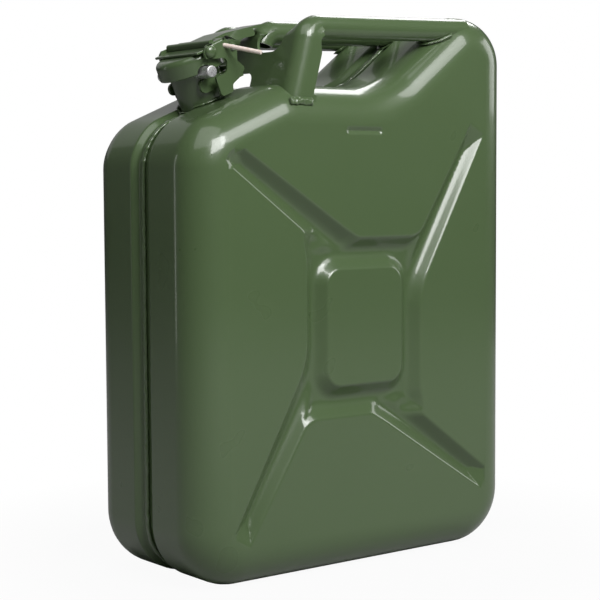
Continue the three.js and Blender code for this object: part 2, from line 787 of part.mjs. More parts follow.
const jerryCan = new THREE.Group();
jerryCan.add(piece('near_shell', shell(-1), materials.paint));
jerryCan.add(piece('far_shell', shell(1), materials.paint));
jerryCan.add(piece('seam_weld', seamWeld(), materials.paint));
[['near', -handleSpacing], ['middle', 0], ['far', handleSpacing]].forEach(([place, y]) => {
  jerryCan.add(piece(`handle_${place}`, handle(y), materials.paint));
  jerryCan.add(piece(`handle_weld_${place}`, handleWeld(y), materials.paint));
});
jerryCan.add(piece('handle_bracket', bracket(), materials.paint));
jerryCan.add(piece('bracket_weld_near', bracketWeld(-1), materials.paint));
jerryCan.add(piece('bracket_weld_far', bracketWeld(1), materials.paint));

const closure = new THREE.Group();
closure.position.copy(neckBase);
closure.rotation.y = -slopeAngle;
closure.add(piece('filler_neck', neck(), materials.paint));
closure.add(piece('neck_weld', neckWeld(), materials.paint));
closure.add(piece('vent_tube', vent(), materials.zinc));
closure.add(piece('hinge_strap', strap(), materials.paint));
closure.add(piece('hinge_pin', hingePin(), materials.zinc));
closure.add(piece('latch_stud_near', stud(-1), materials.zinc));
closure.add(piece('latch_stud_far', stud(1), materials.zinc));
closure.add(piece('cap', cap(), materials.paint));
closure.add(piece('cap_gasket', gasket(), materials.rubber));
closure.add(piece('gasket_disc', gasketDisc(), materials.zinc));
closure.add(piece('cap_carrier', carrier(), materials.paint));
closure.add(piece('rivet_near', rivet(-1), materials.paint));
closure.add(piece('rivet_far', rivet(1), materials.paint));
closure.add(piece('closing_lever', lever(), materials.paint));
closure.add(piece('lock_pin', pinRod(pinRadius, -pinInside, pinOutside), materials.pin));
jerryCan.add(closure);

export default jerryCan;
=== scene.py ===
"""A painted steel jerry can: smooth pressed shells, tube handles and a hooked cap closure, in metres."""

import json
import math

import bmesh
import bpy
from mathutils import Matrix, Vector


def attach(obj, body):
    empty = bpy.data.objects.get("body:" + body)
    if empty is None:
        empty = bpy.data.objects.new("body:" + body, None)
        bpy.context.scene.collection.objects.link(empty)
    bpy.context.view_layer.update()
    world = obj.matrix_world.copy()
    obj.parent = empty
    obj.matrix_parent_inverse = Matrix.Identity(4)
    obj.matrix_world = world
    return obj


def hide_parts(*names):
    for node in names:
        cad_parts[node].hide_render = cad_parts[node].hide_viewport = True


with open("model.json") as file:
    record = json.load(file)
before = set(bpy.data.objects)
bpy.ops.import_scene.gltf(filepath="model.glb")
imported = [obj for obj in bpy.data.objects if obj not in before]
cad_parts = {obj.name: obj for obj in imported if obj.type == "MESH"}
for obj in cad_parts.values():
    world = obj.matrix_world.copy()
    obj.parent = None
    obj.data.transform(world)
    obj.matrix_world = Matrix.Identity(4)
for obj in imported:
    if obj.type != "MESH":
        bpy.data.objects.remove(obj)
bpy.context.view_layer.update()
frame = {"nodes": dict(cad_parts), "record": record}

mm = 0.001

# Body
half_length = 172.5 * mm
half_width = 80 * mm
body_height = 474.5 * mm
top_level = 409 * mm
sheet = 1.2 * mm
edge_radius = 32 * mm
edge_steps = 12
bottom_radius = 50 * mm
front_radius = 45 * mm
ridge_radius = 45 * mm
ridge_x = -80.3 * mm
slope = math.radians(22.8)
hump_angle = math.radians(38)
hump_foot_x = 30.97 * mm
hump_foot_radius = 80 * mm
hump_top_radius = 36 * mm
rear_radius = 42.4 * mm

# Sunk seam
seam_depth = 5 * mm
seam_floor = 9 * mm
seam_mouth = 13 * mm
seam_gap = 0.15 * mm
seam_edge_round = 1.6 * mm

# Pressed cross
press_z = 207.5 * mm
press_depth = 9 * mm
press_slope = 14.5 * mm
press_rim = 0.12
press_blend = 9 * mm
press_grid = 4 * mm
press_half_z = 176 * mm
pad_half = Vector((39.5 * mm, 48 * mm))
pad_corner = 13 * mm
ring_half = Vector((63.5 * mm, 75.7 * mm))
ring_corner = 2 * mm
knee_drop = 4 * mm
arm_half = 14.5 * mm
arm_end_half = 10 * mm
arm_fade = 34 * mm
flat_arm = (Vector((-24.5, 68.5)) * mm, Vector((-142, 148.5)) * mm)
steep_arm = (Vector((48, 29)) * mm, Vector((131, 169)) * mm)
bar_half = Vector((18.5 * mm, 1.8 * mm))
bar_z = 371.5 * mm
bar_depth = 1.8 * mm
bar_wall = 4 * mm

# Filler neck, square to the sloping shoulder
neck_x = -108.2 * mm
neck_foot = Vector((neck_x, 0, top_level + (neck_x - ridge_x) * math.tan(slope)))
neck_up = Vector((-math.sin(slope), 0, math.cos(slope)))
neck_hole = 21.3 * mm

# Tube handles
handle_radius = 10 * mm
handle_wall = 1.5 * mm
handle_spacing = 62 * mm
handle_rear_z = 462.2 * mm
handle_rise = 6 * mm
handle_bend = 15 * mm
handle_foot_z = 420 * mm
handle_rear_x = 128 * mm

# Bracket: a leaning sheet folded round the outer handles
lean = math.radians(15)
bracket_foot_x = -72 * mm
bracket_sheet = 2.5 * mm
bracket_low = 377 * mm
fold_radius = handle_radius + bracket_sheet + 0.3 * mm
hood_turn = math.radians(58)
hood_end_radius = 10.6 * mm
flange_foot = 11.2 * mm
arch_half = 15 * mm
arch_top = 420.5 * mm
arch_round = 6 * mm
gap_inner = 13 * mm
gap_outer = 51 * mm
gap_floor = 437 * mm

# Closure, drawn upright at the origin and tilted onto the shoulder when done
neck_radius = 21 * mm
neck_wall = 2 * mm
neck_rim = 36.8 * mm
neck_depth = 9 * mm
gasket_low = 37.1 * mm
gasket_high = 39.5 * mm
gasket_inner = 18 * mm
cap_radius = 29 * mm
cap_wall = 1.8 * mm
cap_top = 41.6 * mm
cap_round = 5 * mm
skirt_low = 26 * mm
carrier_low = 41.9 * mm
carrier_high = 43.9 * mm
carrier_half = 31.4 * mm
carrier_front = -12 * mm
carrier_rear = 8 * mm
carrier_sheet = 2 * mm
ear_radius = 3.4 * mm
tongue_half = 12 * mm
rivet_x = -0.8 * mm
rivet_z = 40.6 * mm
rivet_head = 5.2 * mm
rivet_dome = 3.6 * mm
rivet_brim = 0.6 * mm
rivet_shank = 2 * mm
strap_low = 9.5 * mm
strap_high = 20 * mm
strap_front = -15 * mm
strap_inner = 21.3 * mm
strap_outer = 24.3 * mm
strap_back = 29.6 * mm
strap_plate = 3 * mm
strap_end_round = 5.1 * mm
hinge_x = 34 * mm
hinge_z = 33 * mm
knuckle = 4.4 * mm
hinge_pin_radius = 2.5 * mm
hinge_ear = 3 * mm
stud_x = -7.6 * mm
stud_z = 26.1 * mm
stud_radius = 5 * mm
stud_reach = 37.5 * mm
stud_round = 1.2 * mm
notch_side_room = 1.4 * mm
notch_top_room = 0.7 * mm
lever_inner = 31.7 * mm
lever_outer = 33.9 * mm
lever_low = 44.3 * mm
lever_high = 46.5 * mm
lever_front = 2 * mm
lever_rear = 16.8 * mm
lever_round = 3.2 * mm
lip_radius = 2.4 * mm
lip_x = 4.6 * mm
lip_z = 46.6 * mm
window_x = (7.6 * mm, 14.6 * mm)
window_half = 25 * mm
grip_half = 16 * mm
grip_bend_x = 32 * mm
grip_bend_round = 10 * mm
grip_end_x = 72 * mm
grip_fall = math.radians(8.9)
grip_flange = 7 * mm
grip_flange_ramp = 8 * mm
grip_flange_end = 60 * mm
pin_radius = 1.8 * mm
pin_inside = 3.5 * mm
pin_outside = 35 * mm
pin_hole = Vector((14.5 * mm, -32.8 * mm, 40.8 * mm))
pin_way = Vector((0.45, -0.87, -0.21)).normalized()
pin_room = 0.35 * mm
fit = 0.3 * mm
full_round = 0.97
plate_ease = 0.6 * mm
strap_ease = 0.7 * mm

# Welds
weld_grain = 0.7 * mm
weld_lump = 3 * mm
handle_weld_end = 106 * mm
handle_weld_roughness = 0.8 * mm
neck_weld_top = 2 * mm
neck_weld_roughness = 1.2 * mm
bracket_weld_low = 391.5 * mm
bracket_weld_roughness = 2.2 * mm
bead_half = 2.5 * mm
bead_height = 2.2 * mm
bead_grain = 1.1 * mm
bead_lump = 4 * mm
bead_roughness = 1.8 * mm
bead_neck_room = 3.6 * mm

# Colours and light
paint_deep = (0.068, 0.109, 0.045)
paint_pale = (0.075, 0.119, 0.05)
zinc_dull = (0.42, 0.42, 0.43)
zinc_bright = (0.86, 0.86, 0.87)
pin_dark = (0.62, 0.45, 0.38)
pin_pale = (0.92, 0.86, 0.8)
rubber_dark = (0.012, 0.012, 0.012)
rubber_dusty = (0.035, 0.034, 0.032)
floor_colour = (0.35, 0.35, 0.35)
floor_whiteness = 0.95
floor_shadow_reach = (0.22, 0.42)
room_light = (0.06, 0.06, 0.06)

# Camera
camera_place = Vector((-859.4, -1099.5, 329.8)) * mm
camera_yaw = math.radians(-37.75)
camera_pitch = math.radians(4.3)
camera_roll = math.radians(-0.31)
camera_lens = 95.0


# Small tools for modelling

def clear_selection():
    if bpy.context.mode != "OBJECT":
        bpy.ops.object.mode_set(mode="OBJECT")
    bpy.ops.object.select_all(action="DESELECT")


def open_mesh(piece):
    clear_selection()
    piece.select_set(True)
    bpy.context.view_layer.objects.active = piece
    bpy.ops.object.mode_set(mode="EDIT")


def close_mesh():
    bpy.ops.object.mode_set(mode="OBJECT")


def pick(piece, kind, test):
    """Selects those corners, edges or faces of the open mesh that pass the test."""
    bpy.ops.mesh.select_mode(type=kind)
    bpy.ops.mesh.select_all(action="DESELECT")
    mesh = bmesh.from_edit_mesh(piece.data)
    parts = {"VERT": mesh.verts, "EDGE": mesh.edges, "FACE": mesh.faces}[kind]
    for part in parts:
        if test(part):
            part.select_set(True)
    bmesh.update_edit_mesh(piece.data)


def modify(piece, kind, **settings):
    """Adds a modifier with these settings and applies it."""
    clear_selection()
    piece.select_set(True)
    bpy.context.view_layer.objects.active = piece
    modifier = piece.modifiers.new(kind.lower(), kind)
    for setting, value in settings.items():
        setattr(modifier, setting, value)
    bpy.ops.object.modifier_apply(modifier=modifier.name)


def settle(piece):
    """Puts the piece's place and turn into its mesh."""
    clear_selection()
    piece.select_set(True)
    bpy.context.view_layer.objects.active = piece
    bpy.ops.object.transform_apply(location=True, rotation=True, scale=True)


def tilt(piece):
    """Moves a piece drawn upright at the origin to its place on the sloping shoulder."""
    piece.rotation_euler = (0, -slope, 0)
    piece.location = neck_foot
    settle(piece)


def soften(piece, degrees=35, weighted=True):
    clear_selection()
    piece.select_set(True)
    bpy.context.view_layer.objects.active = piece
    bpy.ops.object.shade_smooth_by_angle(angle=math.radians(degrees))
    if weighted:
        modify(piece, "WEIGHTED_NORMAL", keep_sharp=True)


def outline_turn(corners, i):
    before = Vector(corners[i - 1][:2])
    here = Vector(corners[i][:2])
    after = Vector(corners[(i + 1) % len(corners)][:2])
    return (here - before).angle(after - here)


def extrude(step):
    bpy.ops.mesh.extrude_region_move(TRANSFORM_OT_translate={"value": step})


def draw_chain(name, points):
    """A chain of edges through the points; its mesh stays open."""
    clear_selection()
    bpy.ops.mesh.primitive_plane_add(size=mm)
    piece = bpy.context.active_object
    piece.name = name
    piece.data.name = name
    bpy.ops.object.mode_set(mode="EDIT")
    bpy.ops.mesh.select_mode(type="VERT")
    bpy.ops.mesh.merge(type="CENTER")
    bpy.ops.transform.translate(value=points[0])
    for here, after in zip(points, points[1:]):
        extrude(Vector(after) - Vector(here))
    bpy.ops.mesh.select_all(action="SELECT")
    return piece


def draw_outline(name, corners, y, corner_step=math.radians(6)):
    """A flat face at y; each corner is given by its x, its z and the radius of its round."""
    piece = draw_chain(name, [(x, y, z) for x, z, radius in corners])
    bpy.ops.mesh.edge_face_add()
    for i, (x, z, radius) in enumerate(corners):
        if radius <= 0:
            continue
        turn = outline_turn(corners, i)
        place = Vector((x, y, z))
        pick(piece, "VERT", lambda v: (v.co - place).length < 0.01 * mm)
        bpy.ops.mesh.bevel(offset_type="ABSOLUTE", offset=radius * math.tan(turn / 2), affect="VERTICES",
                           segments=max(2, math.ceil(turn / corner_step)), profile=0.5, clamp_overlap=False)
    return piece


# Body shells

def body_corners():
    hump_top_x = hump_foot_x + (body_height - top_level) / math.tan(hump_angle)
    shoulder_z = top_level - (ridge_x + half_length) * math.tan(slope)
    return [
        (-half_length, 0, bottom_radius),
        (half_length, 0, bottom_radius),
        (half_length, body_height, rear_radius),
        (hump_top_x, body_height, hump_top_radius),
        (hump_foot_x, top_level, hump_foot_radius),
        (ridge_x, top_level, ridge_radius),
        (-half_length, shoulder_z, front_radius),
    ]


def smooth_step(t):
    t = min(max(t, 0), 1)
    return t * t * (3 - 2 * t)


def blend_least(a, b, reach):
    h = max(reach - abs(a - b), 0) / reach
    return min(a, b) - h * h * reach / 4


def from_box(x, z, half, corner):
    """Distance outside a box with rounded corners, below zero inside it."""
    out_x = abs(x) - half.x + corner
    out_z = abs(z) - half.y + corner
    outside = math.hypot(max(out_x, 0), max(out_z, 0))
    return outside + min(max(out_x, out_z), 0) - corner


def from_arm(x, z, arm):
    """Distance outside an arm of the cross, which narrows a little and fades out at its far end."""
    start, end = arm
    run = end - start
    along = max(min((Vector((x, z)) - start).dot(run) / run.length_squared, 1), 0)
    width = arm_half + (arm_end_half - arm_half) * along
    fade = (1 - along) * run.length * press_slope / arm_fade
    return max((Vector((x, z)) - start - run * along).length - width, -fade)


def from_cross(x, z):
    """Distance outside the pressed cross, the same for both of its halves."""
    z -= press_z
    sunk = from_box(x, z, ring_half, ring_corner)
    for turn in (1, -1):
        for arm in (flat_arm, steep_arm):
            sunk = blend_least(sunk, from_arm(turn * x, turn * z, arm), press_blend)
        knee = math.hypot(turn * x + ring_half.x - arm_half, turn * z - ring_half.y + knee_drop) - arm_half
        sunk = blend_least(sunk, knee, press_blend)
    pad = from_box(x, z, pad_half, pad_corner)
    return -blend_least(-sunk, pad, press_blend / 2)


def press_profile(share):
    """Depth across a wall, 0 at its rim and 1 in the valley: a rounded rim, an even slope, a rounded foot."""
    t = min(max(share, 0), 1)
    if t < press_rim:
        depth = t * t / (2 * press_rim)
    else:
        depth = min(t, 0.5) - press_rim / 2 + 0.25 - (1 - max(t, 0.5)) ** 2
    return depth / (0.75 - press_rim / 2)


def sheet_height(x, z):
    """How far the broad side is pressed in at a point, in the cross or in the short level bar."""
    sunk = press_depth * press_profile(-from_cross(x, z) / press_slope)
    bar = from_box(x, z - bar_z, bar_half, bar_half.y)
    return sunk + bar_depth * smooth_step(0.5 - bar / bar_wall)


def shell_block():
    """Half of the can as a closed block: wall, rounded edge, and half of the sunk seam at its back."""
    piece = draw_outline("shell_block", body_corners(), -seam_mouth)
    bpy.ops.mesh.select_all(action="SELECT")
    wall = half_width - edge_radius - seam_mouth
    extrude((0, -wall, 0))
    bpy.ops.mesh.select_all(action="SELECT")
    bpy.ops.mesh.normals_make_consistent(inside=False)
    pick(piece, "FACE", lambda f: abs(f.calc_center_median().y + seam_mouth + wall) < 0.01 * mm)
    for i in range(edge_steps):
        low, high = (math.pi / 2 * k / edge_steps for k in (i, i + 1))
        bpy.ops.mesh.inset(thickness=edge_radius * (math.cos(low) - math.cos(high)),
                           depth=edge_radius * (math.sin(high) - math.sin(low)), use_even_offset=True)
    pick(piece, "FACE", lambda f: abs(f.calc_center_median().y + seam_mouth) < 0.01 * mm)
    bpy.ops.mesh.inset(thickness=seam_depth, depth=seam_mouth - seam_floor, use_even_offset=True)
    extrude((0, seam_floor - seam_gap, 0))
    for level in (seam_mouth, seam_floor):
        pick(piece, "EDGE", lambda e: all(abs(v.co.y + level) < 0.01 * mm for v in e.verts))
        bpy.ops.mesh.bevel(offset=seam_edge_round, segments=3, affect="EDGES", profile=0.5)
    close_mesh()
    return piece


def cut_round(piece, radius, low, high):
    """Cuts a hole along the neck's axis."""
    clear_selection()
    bpy.ops.mesh.primitive_cylinder_add(vertices=96, radius=radius, depth=high - low,
                                        location=(0, 0, (low + high) / 2))
    cutter = bpy.context.active_object
    settle(cutter)
    tilt(cutter)
    modify(piece, "BOOLEAN", operation="DIFFERENCE", object=cutter, solver="EXACT")
    bpy.data.objects.remove(cutter)


def press_cross(piece):
    """Divides the broad side into a fine grid, finer where it bends, then presses the cross into it."""
    open_mesh(piece)

    def on_side(f):
        return abs(f.calc_center_median().y + half_width) < 0.01 * mm and abs(f.normal.y) > 0.99

    for way, reach, middle in ((0, half_length - edge_radius, 0), (2, press_half_z, press_z)):
        lines = math.floor(reach / press_grid)
        for i in range(-lines, lines + 1):
            place = Vector((0, 0, 0))
            across = Vector((0, 0, 0))
            place[way] = middle + i * press_grid
            across[way] = 1
            pick(piece, "FACE", on_side)
            bpy.ops.mesh.bisect(plane_co=place, plane_no=across)
    for inside, outside in ((press_slope, 4 * mm), (6 * mm, 3 * mm)):
        def near_bend(f):
            middle = f.calc_center_median()
            rim = from_cross(middle.x, middle.z)
            bar = from_box(middle.x, middle.z - bar_z, bar_half, bar_half.y)
            return on_side(f) and len(f.verts) == 4 and (-inside < rim < outside or bar < bar_wall)
        pick(piece, "FACE", near_bend)
        bpy.ops.mesh.subdivide(number_cuts=1)
    mesh = bmesh.from_edit_mesh(piece.data)
    for v in mesh.verts:
        if abs(v.co.y + half_width) < 0.01 * mm:
            v.co.y += sheet_height(v.co.x, v.co.z)
    bmesh.update_edit_mesh(piece.data)
    close_mesh()


def copy_piece(piece, name):
    twin = piece.copy()
    twin.data = piece.data.copy()
    twin.name = name
    twin.data.name = name
    bpy.context.collection.objects.link(twin)
    return twin


def face_out(piece):
    """Merges doubled corners and turns every face outwards."""
    open_mesh(piece)
    bpy.ops.mesh.select_all(action="SELECT")
    bpy.ops.mesh.remove_doubles(threshold=0.005 * mm)
    bpy.ops.mesh.normals_make_consistent(inside=False)
    close_mesh()


def mirror_copy(piece, name):
    """A copy on the other side of the seam, with its faces turned the right way again."""
    twin = copy_piece(piece, name)
    twin.scale = (1, -1, 1)
    settle(twin)
    face_out(twin)
    return twin


def fatten(piece, amount):
    open_mesh(piece)
    bpy.ops.mesh.select_all(action="SELECT")
    bpy.ops.transform.shrink_fatten(value=amount, use_even_offset=True)
    close_mesh()


def body_blocks(block, grow):
    """The can as two full blocks that overlap in the middle, to trim what stands on it."""
    near = copy_piece(block, "near_block")
    if grow:
        fatten(near, grow)
    open_mesh(near)
    pick(near, "VERT", lambda v: v.co.y > -seam_floor / 2)
    bpy.ops.transform.translate(value=(0, mm, 0))
    close_mesh()
    return near, mirror_copy(near, "far_block")


def combine(piece, kind, others):
    """Joins, cuts or meets a piece with each of the others in turn."""
    for other in others:
        modify(piece, "BOOLEAN", operation=kind, object=other, solver="EXACT")


def drop(pieces):
    for piece in pieces:
        bpy.data.objects.remove(piece)


def make_shells(block):
    near = copy_piece(block, "near_shell_skin")
    cut_round(near, neck_hole, -14 * mm, 20 * mm)
    open_mesh(near)
    pick(near, "FACE", lambda f: all(v.co.y > -2 * seam_gap for v in f.verts))
    bpy.ops.mesh.delete(type="ONLY_FACE")
    close_mesh()
    press_cross(near)
    far = mirror_copy(near, "far_shell_skin")
    for piece in (near, far):
        modify(piece, "SOLIDIFY", thickness=sheet, offset=-1)
        soften(piece)
    return near, far


# Handles and their bracket

def leg_point(z):
    return Vector((bracket_foot_x + fold_radius / math.cos(lean) + (z - top_level) * math.tan(lean), 0, z))


leg_up = Vector((math.sin(lean), 0, math.cos(lean)))
leg_back = Vector((math.cos(lean), 0, -math.sin(lean)))
handle_corner = leg_point(handle_rear_z - handle_rise)
run_tilt = math.atan2(handle_rise, handle_rear_x - handle_corner.x)
handle_turn = math.pi / 2 - lean - run_tilt
leg_top = handle_corner - leg_up * handle_bend * math.tan(handle_turn / 2)
bend_centre = leg_top + leg_back * handle_bend


def make_handle():
    """The middle tube: up its leaning leg, round the bend, and back into the raised rear end."""
    foot = leg_point(handle_foot_z)
    clear_selection()
    bpy.ops.mesh.primitive_circle_add(vertices=48, radius=handle_radius, location=foot, rotation=(0, lean, 0))
    piece = bpy.context.active_object
    piece.name = "handle_middle_tube"
    settle(piece)
    open_mesh(piece)
    bpy.ops.mesh.select_all(action="SELECT")
    extrude(leg_top - foot)
    bpy.ops.mesh.spin(steps=20, angle=-handle_turn, center=bend_centre, axis=(0, 1, 0))
    run = Vector((math.cos(run_tilt), 0, math.sin(run_tilt)))
    extrude(run * (handle_rear_x - bend_centre.x))
    close_mesh()
    face_out(piece)
    modify(piece, "SOLIDIFY", thickness=handle_wall, offset=-1)
    return piece


def make_handles(blocks):
    middle = make_handle()
    handles = [middle]
    for name, y in (("handle_near_tube", -handle_spacing), ("handle_far_tube", handle_spacing)):
        tube = copy_piece(middle, name)
        tube.location.y = y
        settle(tube)
        handles.append(tube)
    for tube in handles:
        combine(tube, "DIFFERENCE", blocks)
        soften(tube, weighted=False)
    return handles


def sheet_chain():
    """Near half of the bracket seen along the legs: front, fold round the outer leg, and flange."""
    foot = leg_point(bracket_low)
    front = [(-handle_spacing * i / 32, -fold_radius) for i in range(32)]
    bend = [(-handle_spacing - fold_radius * math.sin(a), -fold_radius * math.cos(a))
            for a in (math.pi / 2 * i / 12 for i in range(13))]
    flange = [(-handle_spacing - fold_radius, 1.2 * flange_foot * i / 4) for i in range(1, 5)]
    return [foot + leg_back * back + Vector((0, y, 0)) for y, back in front + bend + flange]


def wrap_hoods(piece):
    """Past the leg tops, draws the sheet in round the bending tubes until it lies almost on them."""
    mesh = bmesh.from_edit_mesh(piece.data)
    for v in mesh.verts:
        out = Vector((v.co.x, 0, v.co.z)) - bend_centre
        turn = math.atan2(-out.dot(leg_back), out.dot(leg_up))
        turn = math.pi / 2 - turn
        if turn < 0.001 or (v.co - leg_top).dot(leg_up) < 0:
            continue
        away = out.normalized()
        share = smooth_step(turn / hood_turn)
        radius = fold_radius + (hood_end_radius - fold_radius) * share
        for y in (0, -handle_spacing):
            aside = v.co.y - y
            back = handle_bend - out.length
            if abs(aside) > 18 * mm or back > 0.01 * mm:
                continue
            if y < 0 and aside < 0:
                aside *= radius / fold_radius
                back *= radius / fold_radius
            else:
                wrap = aside / radius
                curl = smooth_step(turn / math.radians(25))
                aside += (radius * math.sin(wrap) - aside) * curl
                back += (-radius * math.cos(wrap) - back) * curl
            v.co = bend_centre + away * (handle_bend - back) + Vector((0, y + aside, 0))
            break
    bmesh.update_edit_mesh(piece.data)


def in_gap(place):
    """Whether a place on the sheet lies above the legs, in the gap between two handles."""
    return (place - leg_top).dot(leg_up) > 0 and gap_inner < -place.y < gap_outer


def front_cutter(name, corners):
    """A block that cuts an outline, given as y, z and round, through the leaning sheet."""
    cutter = draw_outline(name, corners, 0)
    bpy.ops.mesh.select_all(action="SELECT")
    extrude((0, 120 * mm, 0))
    close_mesh()
    cutter.rotation_euler = (0, 0, -math.pi / 2)
    cutter.location = (-110 * mm, 0, 0)
    settle(cutter)
    face_out(cutter)
    return cutter


def make_bracket(blocks):
    piece = draw_chain("handle_bracket_sheet", sheet_chain())
    for i in range(8):
        extrude((leg_top - leg_point(bracket_low)) / 8)
    bpy.ops.mesh.spin(steps=12, angle=-hood_turn, center=bend_centre, axis=(0, 1, 0))
    bpy.ops.mesh.select_all(action="SELECT")
    bpy.ops.mesh.remove_doubles(threshold=0.005 * mm)
    pick(piece, "FACE", lambda f: in_gap(f.calc_center_median()))
    bpy.ops.mesh.delete(type="FACE")
    wrap_hoods(piece)
    low = leg_point(top_level) + leg_back * flange_foot
    high = bend_centre + (leg_up * math.sin(hood_turn) - leg_back * math.cos(hood_turn)) * handle_bend
    rise = high - low
    pick(piece, "FACE", lambda f: True)
    bpy.ops.mesh.bisect(plane_co=low, plane_no=(rise.z, 0, -rise.x), clear_outer=True)
    close_mesh()
    twin = mirror_copy(piece, "handle_bracket_twin")
    clear_selection()
    twin.select_set(True)
    piece.select_set(True)
    bpy.context.view_layer.objects.active = piece
    bpy.ops.object.join()
    face_out(piece)
    modify(piece, "SOLIDIFY", thickness=bracket_sheet, offset=-1)
    top = body_height + 20 * mm
    spread = 3 * mm
    gap = [(gap_inner, gap_floor, 11 * mm), (gap_outer - spread, gap_floor, 13 * mm),
           (gap_outer, top, 0), (gap_inner - spread / 2, top, 0)]
    arch = [(-arch_half, bracket_low - 20 * mm, 0), (arch_half, bracket_low - 20 * mm, 0),
            (arch_half, arch_top, arch_round), (-arch_half, arch_top, arch_round)]
    cutters = [front_cutter("gap", gap), front_cutter("arch", arch)]
    cutters.append(mirror_copy(cutters[0], "far_gap"))
    combine(piece, "DIFFERENCE", cutters)
    combine(piece, "DIFFERENCE", blocks)
    drop(cutters)
    modify(piece, "BEVEL", width=0.7 * mm, segments=2, limit_method="ANGLE", angle_limit=math.radians(50))
    soften(piece)
    return piece


# Closure

def arc(x, z, radius, start, end, steps=8):
    """Points on a round, as pairs of a distance and a height."""
    angles = [math.radians(start + (end - start) * i / steps) for i in range(steps + 1)]
    return [(x + radius * math.cos(a), z + radius * math.sin(a)) for a in angles]


def turned(name, profile, steps=72):
    """A round piece, from the half section that is spun about the upright axis."""
    piece = draw_chain(name, [(r, 0, z) for r, z in profile])
    bpy.ops.mesh.spin(steps=steps, angle=2 * math.pi, center=(0, 0, 0), axis=(0, 0, 1))
    close_mesh()
    face_out(piece)
    return piece


def slab(name, corners, low, high):
    """An outline with rounded corners, pushed along y."""
    piece = draw_outline(name, corners, low)
    bpy.ops.mesh.select_all(action="SELECT")
    extrude((0, high - low, 0))
    close_mesh()
    face_out(piece)
    return piece


def block_between(name, x, y, z):
    return slab(name, [(x[0], z[0], 0), (x[1], z[0], 0), (x[1], z[1], 0), (x[0], z[1], 0)], *y)


def rod(name, radius, start, end, edge=0.0, sides=40):
    """A round bar between two points, with its end edges eased."""
    clear_selection()
    run = Vector(end) - Vector(start)
    bpy.ops.mesh.primitive_cylinder_add(vertices=sides, radius=radius, depth=run.length,
                                        location=(Vector(start) + Vector(end)) / 2,
                                        rotation=run.to_track_quat("Z", "Y").to_euler())
    piece = bpy.context.active_object
    piece.name = name
    piece.data.name = name
    settle(piece)
    if edge > 0:
        ease(piece, edge)
    return piece


def cross_rod(name, radius, x, z, low, high):
    return rod(name, radius, (x, low, z), (x, high, z))


def ease(piece, width, segments=3):
    modify(piece, "BEVEL", width=width, segments=segments, limit_method="ANGLE", angle_limit=math.radians(40))


def weld_together(piece, others):
    combine(piece, "UNION", others)
    drop(others)


def cut_away(piece, others):
    combine(piece, "DIFFERENCE", others)
    drop(others)


def make_neck():
    inner = neck_radius - neck_wall
    rim = arc(neck_radius - neck_wall / 2, neck_rim - neck_wall / 2, neck_wall / 2, 0, 180)
    foot = (neck_radius, -neck_depth)
    return turned("filler_neck_tube", [foot, *rim, (inner, -neck_depth), foot])


def make_cap():
    """Pressed cap: flat top, rounded shoulder, skirt with a rolled lower edge and a notch for each stud."""
    inner = cap_radius - cap_wall
    shoulder = arc(cap_radius - cap_round, cap_top - cap_round, cap_round, 90, 0, 10)
    lip = arc(cap_radius - cap_wall / 2, skirt_low + cap_wall / 2, cap_wall / 2, 0, -180, 6)
    crown = arc(inner - cap_round + cap_wall, cap_top - cap_round, cap_round - cap_wall, 0, 90, 6)
    piece = turned("cap_skin", [(0, cap_top), *shoulder, *lip, *crown, (0, cap_top - cap_wall)], 96)
    half = stud_radius + notch_side_room
    top = stud_z + stud_radius + notch_top_room
    notch = [(stud_x - half, 0, 0), (stud_x + half, 0, 0),
             (stud_x + half, top, half * 0.9), (stud_x - half, top, half * 0.9)]
    near_notch = slab("near_notch", notch, -2 * cap_radius, -neck_radius)
    far_notch = slab("far_notch", notch, neck_radius, 2 * cap_radius)
    cut_away(piece, [near_notch, far_notch])
    return piece


def make_carrier():
    """Bar across the cap with an ear hanging at each end, and the hinge tongue at the back."""
    piece = slab("cap_carrier_bar", [(carrier_front, carrier_low, 0), (carrier_rear, carrier_low, 0),
                                     (carrier_rear, carrier_high, 0), (carrier_front, carrier_high, 0)],
                 -carrier_half, carrier_half)
    ear = [
        (rivet_x - ear_radius - 2 * mm, carrier_high, 0),
        (rivet_x - ear_radius, rivet_z - ear_radius, ear_radius * full_round),
        (rivet_x + ear_radius, rivet_z - ear_radius, ear_radius * full_round),
        (rivet_x + ear_radius + 2 * mm, carrier_high, 0),
    ]
    ears = [slab(name, ear, y, y + carrier_sheet)
            for name, y in (("near_ear", -carrier_half), ("far_ear", carrier_half - carrier_sheet))]
    knuckle_rear = hinge_x + knuckle
    tongue = slab("tongue", [
        (carrier_rear - mm, carrier_low, 0),
        (strap_back - 1.4 * mm, carrier_low, 0),
        (strap_back, carrier_low - 1.4 * mm, 0),
        (strap_back, hinge_z - knuckle, knuckle * full_round),
        (knuckle_rear, hinge_z - knuckle, knuckle * full_round),
        (knuckle_rear, hinge_z + 2 * mm, 2 * mm),
        (strap_back, carrier_high, 3 * mm),
        (carrier_rear - mm, carrier_high, 0),
    ], -tongue_half, tongue_half)
    weld_together(piece, [*ears, tongue])
    cut_away(piece, [hinge_bore(fit)])
    ease(piece, plate_ease, 2)
    return piece


def hinge_bore(room):
    return cross_rod("bore", hinge_pin_radius + room, hinge_x, hinge_z, -2 * tongue_half, 2 * tongue_half)


